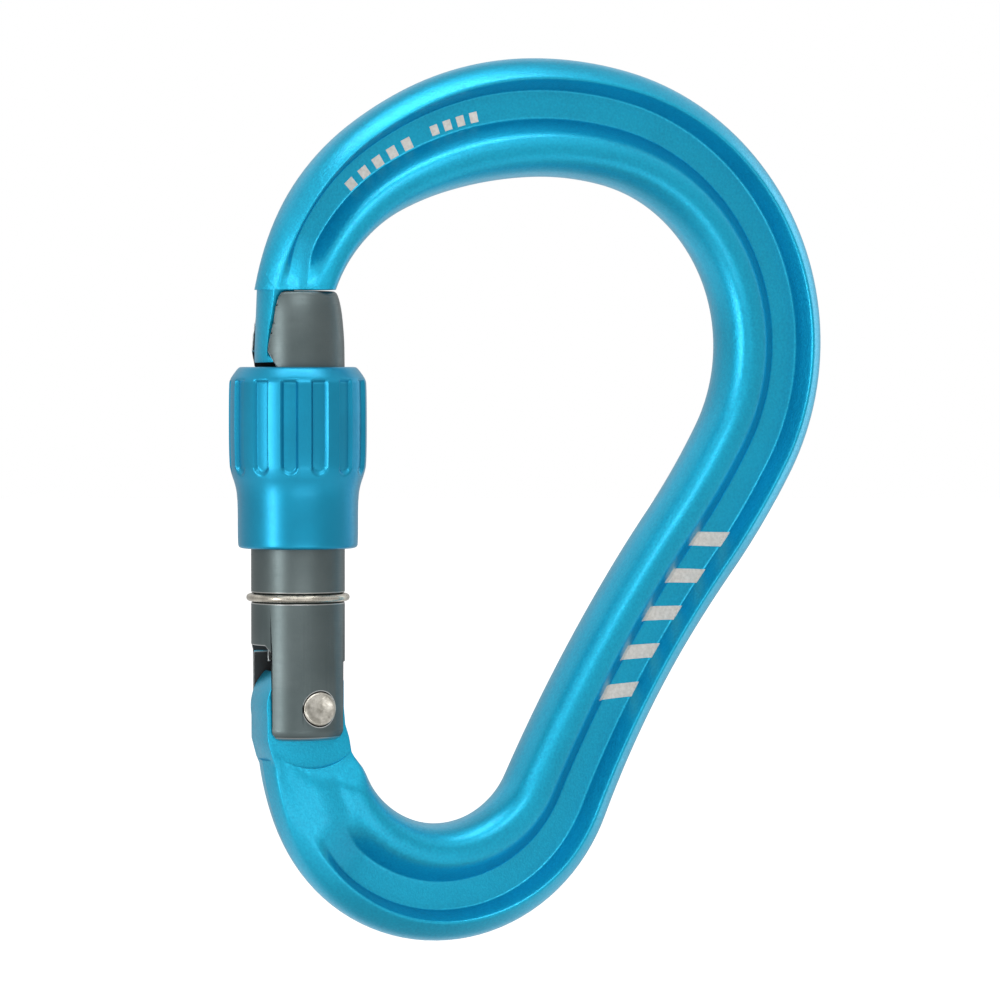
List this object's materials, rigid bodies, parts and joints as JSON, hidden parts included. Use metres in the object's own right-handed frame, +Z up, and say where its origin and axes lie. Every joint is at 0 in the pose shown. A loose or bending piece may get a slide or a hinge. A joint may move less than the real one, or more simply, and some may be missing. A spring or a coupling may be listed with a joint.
{
  "type": "locking carabiner",
  "caption": "Pear-shaped screw-gate carabiner: forged I-beam frame with a keylock nose, sprung tube gate on a riveted hinge, and a fluted locking sleeve that screws along the gate",
  "frame": {"origin": "middle of the whole carabiner's bounding box, gate shut", "axes": "+Z up the frame from the hinge end to the wide basket, +X from the gate to the spine, Y through the thickness and along the hinge rivet; the side in the picture faces -Y"},
  "size_m": [0.0777, 0.0164, 0.1078],
  "materials": {
    "body_blue": "satin blue anodised, bead blasted",
    "sleeve_blue": "satin blue anodised",
    "gate_grey": "satin gun-metal anodised",
    "rivet_steel": "peened bright stainless",
    "ring_steel": "bright spring wire",
    "plunger_steel": "turned",
    "spring_steel": "drawn spring wire"
  },
  "bodies": {
    "frame": {"forged_body": "body_blue"},
    "gate": {"gate_tube": "gate_grey", "hinge_rivet": "rivet_steel", "gate_spring": "spring_steel"},
    "plunger": {"spring_plunger": "plunger_steel"},
    "stop_ring": {"sleeve_stop_ring": "ring_steel"},
    "sleeve": {"locking_sleeve": "sleeve_blue"}
  },
  "joints": [
    {"name": "gate_hinge", "type": "hinge", "parent": "frame", "child": "gate", "pos_m": [-0.0299, 0, -0.02485], "axis": [0, 1, 0], "range_deg": [0, 32], "stiffness_Nm_per_rad": 0.3, "springref_deg": -28.65},
    {"name": "plunger_slide", "type": "slide", "parent": "gate", "child": "plunger", "axis": [0, 0, 1], "range_m": [0, 0.00075], "deforming": ["gate_spring"]},
    {"name": "sleeve_turn", "type": "hinge", "parent": "gate", "child": "stop_ring", "pos_m": [-0.0307, 0, 0], "axis": [0, 0, 1], "range_deg": [-1263, 1083]},
    {"name": "sleeve_travel", "type": "slide", "parent": "stop_ring", "child": "sleeve", "axis": [0, 0, 1], "range_m": [-0.00526, 0.00451]}
  ],
  "couplings": [
    {"joint": "plunger_slide", "follows": "gate_hinge", "m_per_rad": 0.0013},
    {"joint": "sleeve_turn", "follows": "sleeve_travel", "rad_per_m": 4188.8}
  ]
}
